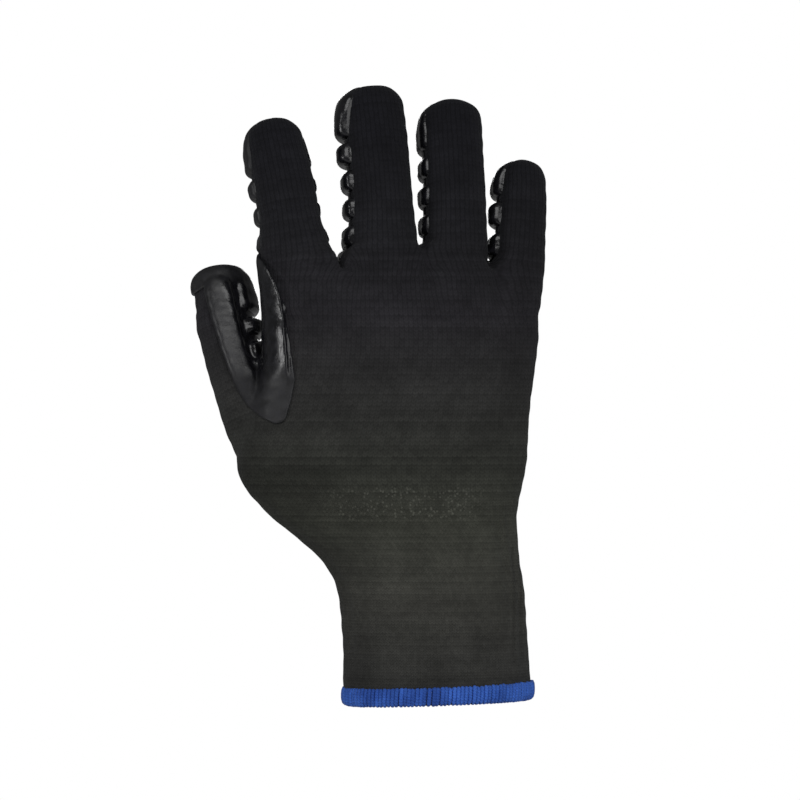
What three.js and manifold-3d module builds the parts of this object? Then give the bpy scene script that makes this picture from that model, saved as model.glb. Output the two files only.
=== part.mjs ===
// Anti-vibration work glove for a right hand: a seamless knit with a moulded rubber palm,
// held upright as the hand in it would hold it, with its cuff at the bottom.
// Millimetres. +Z runs from the cuff to the fingertips, +X to the little finger,
// +Y to the palm and -Y to the back of the hand. The origin is the centre of the cuff's mouth.
import * as THREE from "three";
import { mergeVertices } from "three/addons/utils/BufferGeometryUtils.js";
import Module from "manifold-3d";

const wasm = await Module();
wasm.setup();

// Overall sizes
const CUFF_HEIGHT = 87; // the mouth to the first course of the hand
const CROTCH_HEIGHT = 176; // the mouth to the root of the index finger
const CUFF_WIDTH = 75.6;
const CUFF_DEPTH = 50;
const PALM_WIDTH = 113.4;
const PALM_DEPTH = 32;
const FINGER_LENGTH = 72.6; // of the middle finger, from its root
const FINGER_WIDTH = 24.8; // of the middle finger
const MOUTH_SLANT = 1.8; // degrees that the mouth rises towards the little finger

// Walls, gaps and the rubber
const KNIT_WALL = 1.6;
const FIT_GAP = 0.3; // between a piece and its neighbour
const RUBBER_SKIN = 0.9;
const BLOCK_HEIGHT = 4.1; // of the blocks on the fingers, above the skin
const BLOCK_LENGTH = 8.4;
const BLOCK_PITCH = 10.8;
const PALM_BLOCK_HEIGHT = 2.8;
const PALM_BLOCK_LENGTH = 11;
const PALM_BLOCK_PITCH = 13.6;
const PAD_HEIGHT = 2; // of the long pad on the thumb, above the skin
const PALM_BLOCK_CORNER = 2.5;
const HEM_HEIGHT = 7.6;
const HEM_WALL = 1.3;
const HEM_FOLD = 1.2; // the thread below the cuff's edge

// Facets
const BODY_SIDES = 24;
const DIGIT_SIDES = 12;
const RING_GAP = 2; // the least between two rings of a digit

// The body's sections. station: 0 the mouth, 1 the top of the cuff, 2 the finger roots.
// radial, ulnar: 0 the cuff's edge, 1 the palm's edge, on the thumb's and the little finger's side.
// flat: 0 the cuff's depth, 1 the palm's depth. shift: towards the palm, as a share of PALM_DEPTH.
// square: the exponent of the section's superellipse.
const BODY = [
  { station: 0.0, radial: 0.0, ulnar: 0.0, flat: 0.0, shift: 0.0, square: 2.2 },
  { station: 0.11, radial: 0.02, ulnar: -0.13, flat: 0.0, shift: 0.0, square: 2.2 },
  { station: 0.3, radial: 0.02, ulnar: -0.38, flat: 0.05, shift: 0.0, square: 2.2 },
  { station: 0.53, radial: 0.09, ulnar: -0.83, flat: 0.1, shift: 0.01, square: 2.2 },
  { station: 0.645, radial: 0.25, ulnar: -1.28, flat: 0.15, shift: 0.02, square: 2.2 },
  { station: 0.755, radial: 0.54, ulnar: -1.51, flat: 0.2, shift: 0.03, square: 2.25 },
  { station: 0.864, radial: 0.88, ulnar: -1.62, flat: 0.28, shift: 0.05, square: 2.3 },
  { station: 1.0, radial: 1.18, ulnar: -0.94, flat: 0.36, shift: 0.06, square: 2.35 },
  { station: 1.083, radial: 1.255, ulnar: -0.49, flat: 0.42, shift: 0.08, square: 2.4 },
  { station: 1.19, radial: 1.19, ulnar: -0.27, flat: 0.5, shift: 0.08, square: 2.5 },
  { station: 1.41, radial: 1.02, ulnar: 0.1, flat: 0.66, shift: 0.07, square: 2.7 },
  { station: 1.52, radial: 0.96, ulnar: 0.38, flat: 0.74, shift: 0.06, square: 2.8 },
  { station: 1.68, radial: 0.945, ulnar: 0.66, flat: 0.9, shift: 0.05, square: 2.9 },
  { station: 1.9, radial: 0.96, ulnar: 1.11, flat: 1.2, shift: 0.015, square: 3.1 },
  { station: 2.0, radial: 0.95, ulnar: 1.1, flat: 1.45, shift: 0.0, square: 3.2 },
];
const PALM_RADIAL_SHARE = 0.636; // of PALM_WIDTH, from the mouth's centre line to the thumb's side
const WEB_RISE = 1.5; // of the web between the fingers past their roots
const WEB_SHARE = 0.9; // the top of the web over the section below it
const WEB_STARTS = 1.95; // the station where the hand's walls turn in to the web
const SLANT_ENDS = 0.6; // the station where the mouth's slant has died out

// The digits. x: of PALM_WIDTH. y: of PALM_DEPTH. rise: the root above CROTCH_HEIGHT, of the width.
// lean: degrees to the little finger. pitch: degrees to the palm. twist: degrees that the palm side
// turns to the thumb. curl: degrees from root to tip. flare: the root's width over the digit's.
// dome: the tip's height over half the width. split: where the stall leaves the hand, of the length.
// length: of FINGER_LENGTH. width, thickness: of FINGER_WIDTH.
// cap: the length of the rubber fingertip, and wrap: how much of it goes all round, of FINGER_LENGTH.
// near: the coat's reach from the palm line on the little finger's side, in degrees.
// thick: the blocks' height over BLOCK_HEIGHT.
const DIGIT_ROWS = [
  { name: "index", x: -0.5075, y: 0, rise: 0, lean: -7.9, pitch: 3, twist: -4, curl: 20,
    length: 0.832, width: 0.9597, thickness: 0.8306, flare: 1.22, dome: 0.84, split: 0.07,
    cap: 0.2975, wrap: 0, near: 80, blocks: 3, thick: 1 },
  { name: "middle", x: -0.1925, y: 0, rise: 0.04, lean: -0.7, pitch: 3, twist: 12, curl: 20,
    length: 1, width: 1, thickness: 0.8548, flare: 1.13, dome: 0.74, split: 0.06,
    cap: 0.292, wrap: 0, near: 80, blocks: 4, thick: 1 },
  { name: "ring", x: 0.0665, y: 0, rise: 0.08, lean: 0.8, pitch: 3, twist: 3, curl: 20,
    length: 0.9132, width: 0.9677, thickness: 0.8306, flare: 1.06, dome: 0.78, split: 0.06,
    cap: 0.2948, wrap: 0, near: 80, blocks: 4, thick: 1 },
  { name: "little", x: 0.291, y: 0, rise: -0.15, lean: 6.9, pitch: 3, twist: 11, curl: 20,
    length: 0.6364, width: 0.7823, thickness: 0.6855, flare: 1.06, dome: 0.78, split: 0.14,
    cap: 0.2149, wrap: 0, near: 80, blocks: 2, thick: 1 },
  { name: "thumb", x: -0.628, y: 0.4, rise: -2.9, lean: -23.5, pitch: 13, twist: -74, curl: 19,
    length: 0.9298, width: 0.9073, thickness: 0.8629, flare: 1.3, dome: 0.62, split: 0.3,
    cap: 0.2893, wrap: 0.124, near: 138, blocks: 2, thick: 0.8 },
];
const DIGITS = DIGIT_ROWS.map((row) => ({
  ...row,
  length: row.length * FINGER_LENGTH,
  width: row.width * FINGER_WIDTH,
  thickness: row.thickness * FINGER_WIDTH,
  cap: row.cap * FINGER_LENGTH,
  wrap: row.wrap * FINGER_LENGTH,
}));
// A digit's sections: share of its length, width and thickness over the digit's own.
const DIGIT_SECTIONS = [
  { share: -0.3, width: 1.02, thickness: 1.12 },
  { share: 0.0, width: 1.02, thickness: 1.1 },
  { share: 0.22, width: 1.02, thickness: 1.03 },
  { share: 0.45, width: 1.01, thickness: 1.0 },
  { share: 0.65, width: 1.01, thickness: 0.98 },
  { share: 0.84, width: 1.0, thickness: 0.95 },
];
const DIGIT_SQUARENESS = 2.15;
const FLARE_ENDS = 0.34; // the share of the length where the root's flare has died out
const DOME_SQUARENESS = 2.3; // the exponent of the fingertip's profile
const DOME_DEGREES = [38, 68]; // the rings of the fingertip
const STUB_DEPTH = 0.3; // how far a digit reaches down into the hand, of its length

// The rubber's reach either side of a digit's palm line, in degrees
const COAT_REACH = 80;
const BLOCK_REACH = 76;
const COAT_POINTS = 7; // round the palm side of the coat
const BLOCK_CROWN = 4; // the exponent of a block's fall to its ends
// A block's profile along the digit: share of its length, share of its height.
const BLOCK_PROFILE = [
  { share: 0, height: 0.45 },
  { share: 0.2, height: 1 },
  { share: 0.8, height: 1 },
  { share: 1, height: 0.45 },
];

// The long pad on the side of the thumb that faces the index finger. centre, reach: degrees from
// the little finger's side of the thumb. from, to: of its length.
const PAD = { centre: -16, reach: 26, from: 0.31, to: 0.88, points: 5 };

// The rubber palm's edges, in shares of PALM_WIDTH from the mouth's centre line.
const PALM_COAT = [
  { station: 1.06, radial: -0.4, ulnar: 0.22 },
  { station: 1.13, radial: -0.52, ulnar: 0.3 },
  { station: 1.25, radial: -0.66, ulnar: 0.32 },
  { station: 1.36, radial: -0.7, ulnar: 0.33 },
  { station: 2.0, radial: -0.7, ulnar: 0.34 },
];
// The strip of it that laps onto the back of the hand beside the thumb.
const COAT_STRIP = [
  { station: 1.28, radial: -0.645, ulnar: -0.585 },
  { station: 1.48, radial: -0.645, ulnar: -0.527 },
  { station: 1.66, radial: -0.645, ulnar: -0.545 },
  { station: 1.84, radial: -0.645, ulnar: -0.573 },
  { station: 2.0, radial: -0.645, ulnar: -0.635 },
];
// Columns of blocks on the palm. x, width: of PALM_WIDTH. from, to: stations.
const PALM_BLOCKS = [
  { x: 0.265, width: 0.15, from: 1.2, to: 1.93 },
  { x: 0.075, width: 0.18, from: 1.16, to: 1.98 },
  { x: -0.15, width: 0.2, from: 1.22, to: 1.98 },
  { x: -0.4, width: 0.22, from: 1.5, to: 1.98 },
];

// Where the thumb's clearance stands on its way to the back of the hand, in shares of the thumb's y
const THUMB_PASSES = [0, 0.5, 1];

// Folds of the cuff: degrees round the body, depth in shares of KNIT_WALL and half-width in degrees
const CUFF_FOLDS = [
  { at: -16, depth: 0.55, spread: 9 },
  { at: -38, depth: 0.4, spread: 9 },
  { at: 200, depth: 0.4, spread: 9 },
];

const DEEP = 400; // reaches past the glove in any direction

// Reads a column of a table between its rows, along a smooth curve through them.
function tableAt(rows, key, column, value) {
  const last = rows.length - 1;
  let i = 0;
  while (i < last - 1 && value > rows[i + 1][key]) i++;
  const slope = (k) => {
    const before = rows[Math.max(0, k - 1)];
    const after = rows[Math.min(last, k + 1)];
    return (after[column] - before[column]) / (after[key] - before[key]);
  };
  const span = rows[i + 1][key] - rows[i][key];
  const t = THREE.MathUtils.clamp((value - rows[i][key]) / span, 0, 1);
  const [t2, t3] = [t * t, t * t * t];
  return (
    rows[i][column] * (2 * t3 - 3 * t2 + 1) +
    rows[i + 1][column] * (3 * t2 - 2 * t3) +
    slope(i) * span * (t3 - 2 * t2 + t) +
    slope(i + 1) * span * (t3 - t2)
  );
}

const roundTheSection = (sides) => [...Array(sides).keys()].map((k) => (360 * k) / sides);

// A point of a superellipse of unit half-sizes, at an angle in degrees.
function superellipse(degrees, exponent) {
  const angle = THREE.MathUtils.degToRad(degrees);
  const power = (v) => Math.sign(v) * Math.abs(v) ** (2 / exponent);
  return [power(Math.cos(angle)), power(Math.sin(angle))];
}

const stationHeight = (station) =>
  station <= 1
    ? station * CUFF_HEIGHT
    : CUFF_HEIGHT + (station - 1) * (CROTCH_HEIGHT - CUFF_HEIGHT);

// The fold's depth into the cuff at an angle and station; the folds die out at both ends.
function cuffFold(degrees, station) {
  const along = Math.sin(Math.PI * THREE.MathUtils.clamp(station, 0, 1));
  let depth = 0;
  for (const fold of CUFF_FOLDS) {
    const away = ((degrees - fold.at + 540) % 360) - 180;
    depth += fold.depth * Math.exp(-((away / fold.spread) ** 2));
  }
  return depth * along * KNIT_WALL;
}

// A ring of the body at a station, grown by an offset. lift moves it up without changing its shape.
function bodyRing(station, offset, angles, lift = 0, shrink = 1) {
  const column = (name) => tableAt(BODY, "station", name, station);
  const radialEdge = THREE.MathUtils.lerp(
    CUFF_WIDTH / 2, PALM_WIDTH * PALM_RADIAL_SHARE, column("radial"));
  const ulnarEdge = THREE.MathUtils.lerp(
    CUFF_WIDTH / 2, PALM_WIDTH * (1 - PALM_RADIAL_SHARE), column("ulnar"));
  const halfWidth = ((radialEdge + ulnarEdge) / 2) * shrink + offset;
  const depth = THREE.MathUtils.lerp(CUFF_DEPTH, PALM_DEPTH, column("flat"));
  const halfDepth = (depth / 2) * shrink + offset;
  const centre = (ulnarEdge - radialEdge) / 2;
  const slant = Math.tan(THREE.MathUtils.degToRad(MOUTH_SLANT)) *
    Math.max(0, 1 - station / SLANT_ENDS);
  return angles.map((degrees) => {
    const [cx, cy] = superellipse(degrees, column("square"));
    const fold = cuffFold(degrees, station);
    const x = centre + (halfWidth - fold) * cx;
    const y = column("shift") * PALM_DEPTH + (halfDepth - fold) * cy;
    return new THREE.Vector3(x, y, stationHeight(station) + lift + slant * x);
  });
}

// A closed mesh through rings of equal length, each end closed by a fan about a pole.
function loft(rings, startPole = centreOf(rings[0]), endPole = centreOf(rings.at(-1))) {
  const n = rings[0].length;
  const points = rings.flat().concat(startPole, endPole);
  const [start, end] = [points.length - 2, points.length - 1];
  const index = [];
  for (let r = 0; r + 1 < rings.length; r++)
    for (let k = 0; k < n; k++) {
      const [a, b] = [r * n + k, r * n + ((k + 1) % n)];
      index.push(a, b, b + n, a, b + n, a + n);
    }
  const top = (rings.length - 1) * n;
  for (let k = 0; k < n; k++) {
    index.push(start, (k + 1) % n, k);
    index.push(end, top + k, top + ((k + 1) % n));
  }
  return new THREE.BufferGeometry().setFromPoints(points).setIndex(index);
}

function centreOf(ring) {
  return ring
    .reduce((sum, p) => sum.add(p), new THREE.Vector3())
    .divideScalar(ring.length);
}

// A three.js geometry as a manifold-3d solid, turned outside out if its rings ran the other way.
function solid(geometry) {
  const bare = new THREE.BufferGeometry().setIndex(geometry.index);
  bare.setAttribute("position", geometry.getAttribute("position"));
  const merged = mergeVertices(bare, 1e-4);
  const vertProperties = new Float32Array(merged.attributes.position.array);
  const triVerts = new Uint32Array(merged.index.array);
  const made = new wasm.Manifold(new wasm.Mesh({ numProp: 3, vertProperties, triVerts }));
  if (made.volume() >= 0) return made;
  for (let i = 0; i < triVerts.length; i += 3)
    [triVerts[i + 1], triVerts[i + 2]] = [triVerts[i + 2], triVerts[i + 1]];
  return new wasm.Manifold(new wasm.Mesh({ numProp: 3, vertProperties, triVerts }));
}

const joined = (solids) => solids.reduce((all, one) => all.add(one));

function geometryOf(made) {
  const mesh = made.getMesh();
  const geometry = new THREE.BufferGeometry()
    .setAttribute("position", new THREE.BufferAttribute(mesh.vertProperties, 3))
    .setIndex(new THREE.BufferAttribute(mesh.triVerts, 1));
  geometry.computeVertexNormals();
  return geometry;
}

// A digit's path: straight below its root, and an even curve towards its palm side above it.
function digitPath(digit) {
  const rad = THREE.MathUtils.degToRad;
  const root = new THREE.Vector3(
    digit.x * PALM_WIDTH, digit.y * PALM_DEPTH, CROTCH_HEIGHT + digit.rise * digit.width);
  const along = new THREE.Vector3(
    Math.sin(rad(digit.lean)), Math.sin(rad(digit.pitch)), Math.cos(rad(digit.lean))).normalize();
  const palm = new THREE.Vector3(-Math.sin(rad(digit.twist)), Math.cos(rad(digit.twist)), 0);
  palm.addScaledVector(along, -palm.dot(along)).normalize();
  const side = new THREE.Vector3().crossVectors(palm, along);
  const bend = rad(digit.curl) / digit.length;
  return (s) => {
    const angle = Math.max(0, s) * bend;
    const forward = s > 0 ? Math.sin(angle) / bend : s;
    const inward = s > 0 ? (1 - Math.cos(angle)) / bend : 0;
    return {
      at: root.clone().addScaledVector(along, forward).addScaledVector(palm, inward),
      along: along.clone().multiplyScalar(Math.cos(angle)).addScaledVector(palm, Math.sin(angle)),
      palm: palm.clone().multiplyScalar(Math.cos(angle)).addScaledVector(along, -Math.sin(angle)),
      side,
    };
  };
}

const domeRadius = (digit) => (digit.dome * digit.width) / 2;

// A ring across a digit at s along its path, grown by an offset.
function digitRing(digit, path, s, offsetAt, angles, shrink = 1) {
  const share = s / digit.length;
  const flare = (digit.flare - 1) * THREE.MathUtils.smoothstep(-share, -FLARE_ENDS, 0);
  const tabled = (column) => tableAt(DIGIT_SECTIONS, "share", column, share);
  const halfWidth = (digit.width / 2) * (tabled("width") + flare);
  const halfDepth = (digit.thickness / 2) * tabled("thickness");
  const { at, side, palm } = path(s);
  return angles.map((degrees) => {
    const [cx, cy] = superellipse(degrees, DIGIT_SQUARENESS);
    const offset = offsetAt(degrees);
    return at.clone()
      .addScaledVector(side, (halfWidth + offset) * shrink * cx)
      .addScaledVector(palm, (halfDepth + offset) * shrink * cy);
  });
}

// A digit from s0 to its tip, or to s1 where that is given, grown by an offset.
function digitLoft(digit, offset, s0, s1 = Infinity) {
  const path = digitPath(digit);
  const angles = roundTheSection(DIGIT_SIDES);
  return solid(loft(...digitRings(digit, path, s0, s1, () => offset, angles, offset)));
}

// The rings of digitLoft, for any angles and an offset that depends on the angle, and its end poles.
// tip is the offset at the fingertip's pole.
function digitRings(digit, path, s0, s1, offsetAt, angles, tip) {
  const shoulder = digit.length - domeRadius(digit);
  const stops = DIGIT_SECTIONS.map((row) => row.share * digit.length).filter(
    (s) => s > s0 + RING_GAP && s < Math.min(s1, shoulder) - RING_GAP);
  const straight = [s0, ...stops, Math.min(s1, shoulder)];
  const rings = straight.map((s) => digitRing(digit, path, s, offsetAt, angles));
  if (s1 < shoulder) return [rings];
  for (const degrees of DOME_DEGREES) {
    const [shrink, height] = superellipse(degrees, DOME_SQUARENESS);
    const rise = (domeRadius(digit) + tip) * height;
    const across = digitRing(digit, path, shoulder, offsetAt, angles, shrink);
    const [here, there] = [path(shoulder), path(shoulder + rise)];
    rings.push(across.map((p) => p.sub(here.at).add(there.at)));
  }
  return [rings, centreOf(rings[0]), path(digit.length + tip).at];
}

const stallStart = (digit) => digit.split * digit.length;

function bodyStops(from, to) {
  return [from, ...BODY.map((r) => r.station).filter((s) => s > from + 0.02 && s < to - 0.02), to];
}

// The hand's body from a station up to the web between the fingers, grown by an offset.
function handLoft(offset, from) {
  const angles = roundTheSection(BODY_SIDES);
  const rings = bodyStops(from, WEB_STARTS).map((s) => bodyRing(s, offset, angles));
  rings.push(bodyRing(2, offset, angles, WEB_RISE + offset, WEB_SHARE));
  return solid(loft(rings));
}

// The hand and the roots of its digits, grown by an offset. The roots end past their stalls' starts.
function handSolid(offset, from, past) {
  const roots = DIGITS.map((digit) =>
    digitLoft(digit, offset, -STUB_DEPTH * digit.length, stallStart(digit) + past));
  return joined([handLoft(offset, from), ...roots]);
}

// The knitted parts

function cuff() {
  const angles = roundTheSection(BODY_SIDES);
  const foot = HEM_FOLD / CUFF_HEIGHT;
  const outer = bodyStops(foot, 1).map((s) => bodyRing(s, 0, angles));
  const inner = bodyStops(foot, 1).map((s) => bodyRing(s, -KNIT_WALL, angles));
  return solid(tube(outer, inner));
}

// A closed wall between two stacks of rings that share their ends.
function tube(outer, inner) {
  const rings = [...outer, ...inner.reverse()];
  const n = rings[0].length;
  const index = [];
  rings.forEach((ring, r) => {
    const next = (r + 1) % rings.length;
    for (let k = 0; k < n; k++) {
      const after = (k + 1) % n;
      index.push(r * n + k, r * n + after, next * n + after);
      index.push(r * n + k, next * n + after, next * n + k);
    }
  });
  return new THREE.BufferGeometry().setFromPoints(rings.flat()).setIndex(index);
}

const handStart = () => 1 + FIT_GAP / (CROTCH_HEIGHT - CUFF_HEIGHT);

function hand() {
  const start = stationHeight(handStart());
  const below = solid(new THREE.BoxGeometry(DEEP, DEEP, DEEP).translate(0, 0, start - DEEP / 2));
  return handSolid(0, 1, -FIT_GAP)
    .subtract(handSolid(-KNIT_WALL, 1, KNIT_WALL))
    .subtract(below);
}

function stall(digit) {
  const start = stallStart(digit);
  return digitLoft(digit, 0, start).subtract(digitLoft(digit, -KNIT_WALL, start - KNIT_WALL));
}

// The rubber

const skinOut = FIT_GAP + RUBBER_SKIN;

// Where a digit's blocks start and end along it, from the cap down.
function blockSpans(digit) {
  const capStart = digit.length - digit.cap;
  return [...Array(digit.blocks).keys()].map((k) => {
    const end = capStart - (BLOCK_PITCH - BLOCK_LENGTH) - k * BLOCK_PITCH;
    return [end - BLOCK_LENGTH, end];
  });
}

// A rubber layer above the skin between two angles: the angles of its points, and its offset.
function crowned(height, from, to, points) {
  const [centre, reach] = [(from + to) / 2, (to - from) / 2];
  return {
    angles: [...Array(points).keys()].map((k) => THREE.MathUtils.lerp(from, to, k / (points - 1))),
    offsetAt: (d) => skinOut + height * (1 - (Math.abs(d - centre) / reach) ** BLOCK_CROWN),
  };
}

const blockCrown = (height) => crowned(height, 90 - BLOCK_REACH, 90 + BLOCK_REACH, COAT_POINTS);

// A rubber layer of one height from s0 to the tip, where it ends in the skin.
function layerToTip(digit, { angles, offsetAt }, s0) {
  return solid(loft(
    ...digitRings(digit, digitPath(digit), s0, Infinity, offsetAt, angles, skinOut)));
}

// A raised block between s0 and s1, whose crown is given for each height.
function raisedBlock(digit, s0, s1, height, crownOf) {
  const path = digitPath(digit);
  return solid(loft(BLOCK_PROFILE.map((row) => {
    const { angles, offsetAt } = crownOf(height * row.height);
    return digitRing(digit, path, THREE.MathUtils.lerp(s0, s1, row.share), offsetAt, angles);
  })));
}

function thumbPad(digit) {
  const padCrown = (height) =>
    crowned(height, PAD.centre - PAD.reach, PAD.centre + PAD.reach, PAD.points);
  return raisedBlock(digit, PAD.from * digit.length, PAD.to * digit.length, PAD_HEIGHT, padCrown);
}

function digitRubber(digit) {
  const start = stallStart(digit);
  const height = digit.thick * BLOCK_HEIGHT;
  const coatPoints = Math.round((COAT_POINTS * (digit.near + COAT_REACH)) / (2 * COAT_REACH));
  const layers = [
    layerToTip(digit, crowned(0, 90 - digit.near, 90 + COAT_REACH, coatPoints), start),
    layerToTip(digit, blockCrown(height), digit.length - digit.cap),
  ];
  for (const [s0, s1] of blockSpans(digit))
    layers.push(raisedBlock(digit, Math.max(start, s0), s1, height, blockCrown));
  if (digit.near > COAT_REACH) layers.push(thumbPad(digit));
  if (digit.wrap > 0) layers.push(digitLoft(digit, skinOut, digit.length - digit.wrap));
  return joined(layers).subtract(digitLoft(digit, FIT_GAP, start - 1));
}

// The body from one station to another, grown by an offset.
function bodyLoft(offset, from, to) {
  const angles = roundTheSection(BODY_SIDES);
  return solid(loft(bodyStops(from, to).map((s) => bodyRing(s, offset, angles))));
}

// An outline in X and Z, run from the middle of the hand along Y. towards: 1 the palm, -1 the back.
function prism(outline, towards) {
  const shape = new THREE.Shape(outline.map(([x, z]) => new THREE.Vector2(x, z)));
  const made = new THREE.ExtrudeGeometry(shape, { depth: PALM_DEPTH * 2, bevelEnabled: false });
  return solid(made.rotateX(Math.PI / 2).scale(1, -towards, 1));
}

// What lies within the rubber palm's edges.
function palmRegion() {
  const edge = (rows, name) =>
    rows.map((row) => [row[name] * PALM_WIDTH, stationHeight(row.station)]);
  const region = (rows, towards) =>
    prism([...edge(rows, "radial"), ...edge(rows, "ulnar").reverse()], towards);
  return joined([region(PALM_COAT, 1), region(COAT_STRIP, -1)]);
}

// A block's outline on the palm.
function palmPost(x, width, z0, z1) {
  const c = PALM_BLOCK_CORNER;
  const [x0, x1] = [x - width / 2, x + width / 2];
  return prism([
    [x0 + c, z0], [x1 - c, z0], [x1, z0 + c], [x1, z1 - c],
    [x1 - c, z1], [x0 + c, z1], [x0, z1 - c], [x0, z0 + c],
  ], 1);
}

function palmPosts() {
  const posts = [];
  for (const column of PALM_BLOCKS) {
    let top = stationHeight(column.to);
    while (top - PALM_BLOCK_LENGTH > stationHeight(column.from)) {
      const foot = top - PALM_BLOCK_LENGTH;
      posts.push(palmPost(column.x * PALM_WIDTH, column.width * PALM_WIDTH, foot, top));
      top -= PALM_BLOCK_PITCH;
    }
  }
  return posts;
}

function palmRubber() {
  const [from, to] = [PALM_COAT[0].station, PALM_COAT.at(-1).station];
  const region = palmRegion();
  const raised = bodyLoft(skinOut + PALM_BLOCK_HEIGHT, from, to).intersect(region);
  const blocks = palmPosts().map((post) => post.intersect(raised));
  const coat = handSolid(skinOut, 1, -FIT_GAP).intersect(region);
  const thumb = DIGITS.find((digit) => digit.name === "thumb");
  // Clear of the thumb's rubber, and of the way from it to the back of the hand.
  const reach = skinOut + thumb.thick * BLOCK_HEIGHT + FIT_GAP;
  const clearance = THUMB_PASSES.map((share) =>
    digitLoft({ ...thumb, y: thumb.y * share }, reach, stallStart(thumb)));
  return joined([coat, ...blocks])
    .subtract(handSolid(FIT_GAP, 1, FIT_GAP))
    .subtract(joined(clearance));
}

// The overlocked hem: a channel of thread round the cuff's edge.
function hem() {
  const angles = roundTheSection(BODY_SIDES);
  const at = (offset, height) => bodyRing(height / CUFF_HEIGHT, offset, angles);
  const inside = -KNIT_WALL - FIT_GAP;
  const edge = HEM_FOLD - FIT_GAP;
  return solid(tube(
    [at(FIT_GAP, edge), at(FIT_GAP, HEM_HEIGHT), at(FIT_GAP + HEM_WALL, HEM_HEIGHT - HEM_WALL),
      at(FIT_GAP + HEM_WALL, edge), at(0, 0)],
    [at(inside, edge), at(inside, HEM_HEIGHT), at(inside - HEM_WALL, HEM_HEIGHT - HEM_WALL),
      at(inside - HEM_WALL, edge), at(-KNIT_WALL, 0)],
  ));
}

// The glove
const MATERIALS = {
  knit: new THREE.MeshStandardMaterial({ color: 0x1c1c1f, roughness: 0.95, metalness: 0 }),
  cuff: new THREE.MeshStandardMaterial({ color: 0x2b2c29, roughness: 0.95, metalness: 0 }),
  rubber: new THREE.MeshStandardMaterial({ color: 0x16161a, roughness: 0.4, metalness: 0 }),
  hem: new THREE.MeshStandardMaterial({ color: 0x244a9a, roughness: 0.85, metalness: 0 }),
};

function piece(name, made, material) {
  const mesh = new THREE.Mesh(geometryOf(made), MATERIALS[material]);
  mesh.name = name;
  return mesh;
}

const glove = new THREE.Group();
glove.add(piece("overlock_hem", hem(), "hem"));
glove.add(piece("knit_cuff", cuff(), "cuff"));
glove.add(piece("knit_hand", hand(), "knit"));
glove.add(piece("rubber_palm", palmRubber(), "rubber"));
for (const digit of DIGITS) {
  glove.add(piece(`knit_${digit.name}`, stall(digit), "knit"));
  glove.add(piece(`rubber_${digit.name}`, digitRubber(digit), "rubber"));
}
export default glove;
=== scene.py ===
import math

import bpy
import numpy as np
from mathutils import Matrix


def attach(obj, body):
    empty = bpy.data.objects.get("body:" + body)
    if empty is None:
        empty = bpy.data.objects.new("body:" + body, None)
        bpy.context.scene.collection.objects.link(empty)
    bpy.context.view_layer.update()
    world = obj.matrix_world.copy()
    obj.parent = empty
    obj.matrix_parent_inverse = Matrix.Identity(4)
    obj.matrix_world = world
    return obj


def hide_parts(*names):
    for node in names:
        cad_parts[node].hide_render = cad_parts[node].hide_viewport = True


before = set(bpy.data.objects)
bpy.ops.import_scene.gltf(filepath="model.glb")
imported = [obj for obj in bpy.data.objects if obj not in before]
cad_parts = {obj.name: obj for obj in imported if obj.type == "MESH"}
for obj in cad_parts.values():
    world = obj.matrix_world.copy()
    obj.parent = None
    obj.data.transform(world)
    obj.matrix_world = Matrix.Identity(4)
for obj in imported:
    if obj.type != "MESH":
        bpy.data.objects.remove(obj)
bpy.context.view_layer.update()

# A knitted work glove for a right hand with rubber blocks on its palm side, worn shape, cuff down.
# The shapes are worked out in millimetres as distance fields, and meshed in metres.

import openvdb as vdb
from mathutils import Vector

MM = 0.001

# Sizes, in millimetres, as in the CAD model
CUFF_HEIGHT = 87.0
CROTCH_HEIGHT = 176.0
CUFF_WIDTH = 75.6
CUFF_DEPTH = 50.0
PALM_WIDTH = 113.4
PALM_DEPTH = 32.0
FINGER_LENGTH = 72.6
FINGER_WIDTH = 24.8
MOUTH_SLANT = math.tan(math.radians(1.6))
SLANT_ENDS = 0.6
KNIT_WALL = 1.6
RUBBER_SKIN = 0.95
BLOCK_HEIGHT = 4.1
BLOCK_LENGTH = 8.4
BLOCK_PITCH = 10.8
PALM_BLOCK_HEIGHT = 2.8
PALM_BLOCK_LENGTH = 11.0
PALM_BLOCK_PITCH = 13.6
PAD_HEIGHT = 2.0
HEM_HEIGHT = 6.9
PALM_RADIAL_SHARE = 0.636
DIGIT_SQUARENESS = 2.15
FLARE_ENDS = 0.34
# Degrees from a finger's palm line to its rubber's edge on the little finger's side
FINGER_EDGE = 80

# The body's sections: station, radial, ulnar, flat, shift, square
BODY = np.array([
    (0.0, 0.0, 0.0, 0.0, 0.0, 2.2),
    (0.11, 0.02, -0.13, 0.0, 0.0, 2.2),
    (0.3, 0.02, -0.38, 0.05, 0.0, 2.2),
    (0.53, 0.09, -0.83, 0.1, 0.01, 2.2),
    (0.645, 0.25, -1.28, 0.15, 0.02, 2.2),
    (0.755, 0.54, -1.51, 0.2, 0.03, 2.25),
    (0.864, 0.88, -1.62, 0.28, 0.05, 2.3),
    (1.0, 1.18, -0.94, 0.36, 0.06, 2.35),
    (1.083, 1.255, -0.49, 0.42, 0.08, 2.4),
    (1.19, 1.19, -0.27, 0.5, 0.08, 2.5),
    (1.41, 1.02, 0.1, 0.66, 0.07, 2.7),
    (1.52, 0.96, 0.5, 0.74, 0.06, 2.8),
    (1.68, 0.945, 0.96, 0.9, 0.05, 2.9),
    (1.9, 0.96, 0.6, 1.2, 0.015, 3.1),
    (2.0, 0.95, 0.6, 1.45, 0.0, 3.2),
])
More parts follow.
